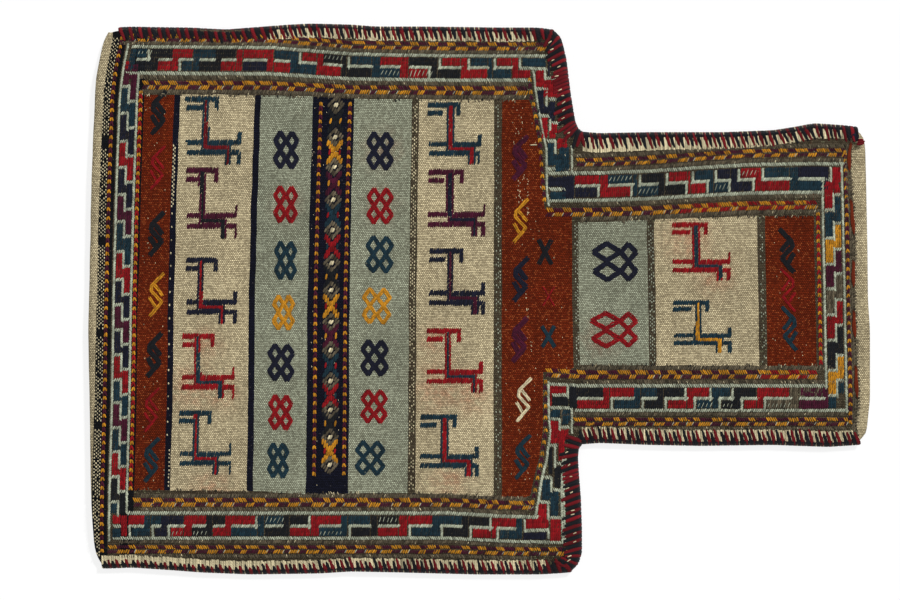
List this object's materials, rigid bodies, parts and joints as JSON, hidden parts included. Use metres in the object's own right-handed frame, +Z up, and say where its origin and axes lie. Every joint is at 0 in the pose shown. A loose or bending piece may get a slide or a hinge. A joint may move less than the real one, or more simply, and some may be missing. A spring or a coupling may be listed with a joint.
{
  "type": "kilim salt bag",
  "caption": "Flat-woven wool bag, a broad body and a narrower open neck, made of one folded cloth with overcast sides and brocaded motifs on the front.",
  "frame": {"origin": "middle of the bag's footprint on the surface it lies on", "axes": "+X along the bag from the bottom fold to the mouth, +Y across it, +Z up out of the decorated front"},
  "size_m": [0.5886, 0.4122, 0.0139],
  "materials": {
    "ground_cloth": "plain weave of handspun wool, matt",
    "overcast_yarn": "plied wool yarn, matt",
    "rust_thread": "plied wool thread, matt",
    "cream_wool": "wrapped wool weft, matt",
    "crimson_wool": "wrapped wool weft, matt",
    "navy_wool": "wrapped wool weft, matt",
    "black_wool": "wrapped wool weft, matt",
    "teal_wool": "wrapped wool weft, matt",
    "gold_wool": "wrapped wool weft, matt",
    "plum_wool": "wrapped wool weft, matt"
  },
  "bodies": {
    "root": {"woven_cloth": "ground_cloth", "overcast_body_upper": "overcast_yarn", "overcast_body_lower": "overcast_yarn", "overcast_shoulder_upper": "overcast_yarn", "overcast_shoulder_lower": "overcast_yarn", "overcast_neck_upper": "overcast_yarn", "overcast_neck_lower": "overcast_yarn", "goat_left_1": "teal_wool", "goat_left_2": "plum_wool", "goat_left_3": "navy_wool", "goat_left_4": "crimson_wool", "goat_left_5": "teal_wool", "goat_right_1": "teal_wool", "goat_right_2": "plum_wool", "goat_right_3": "navy_wool", "goat_right_4": "crimson_wool", "goat_right_5": "teal_wool", "goat_neck_1": "crimson_wool", "goat_neck_2": "teal_wool", "cross_left_1": "navy_wool", "cross_left_2": "crimson_wool", "cross_left_3": "teal_wool", "cross_left_4": "gold_wool", "cross_left_5": "navy_wool", "cross_left_6": "crimson_wool", "cross_left_7": "teal_wool", "cross_right_1": "navy_wool", "cross_right_2": "crimson_wool", "cross_right_3": "teal_wool", "cross_right_4": "gold_wool", "cross_right_5": "navy_wool", "cross_right_6": "crimson_wool", "cross_right_7": "teal_wool", "cross_neck_1": "navy_wool", "cross_neck_2": "crimson_wool", "hook_left_1": "black_wool", "hook_left_2": "crimson_wool", "hook_left_3": "black_wool", "hook_left_4": "gold_wool", "hook_left_5": "black_wool", "hook_left_6": "crimson_wool", "hook_left_7": "teal_wool", "hook_right_1": "plum_wool", "hook_right_2": "gold_wool", "hook_right_3": "navy_wool", "hook_right_4": "plum_wool", "hook_right_5": "cream_wool", "hook_right_6": "teal_wool", "saltire_body_1": "black_wool", "saltire_body_2": "crimson_wool", "saltire_body_3": "teal_wool", "saltire_neck_1": "black_wool", "saltire_neck_2": "teal_wool", "diamond_chain": "gold_wool", "mouth_stitch_1": "rust_thread", "mouth_stitch_2": "rust_thread", "mouth_stitch_3": "rust_thread", "mouth_stitch_4": "rust_thread", "mouth_stitch_5": "rust_thread"}
  },
  "joints": []
}
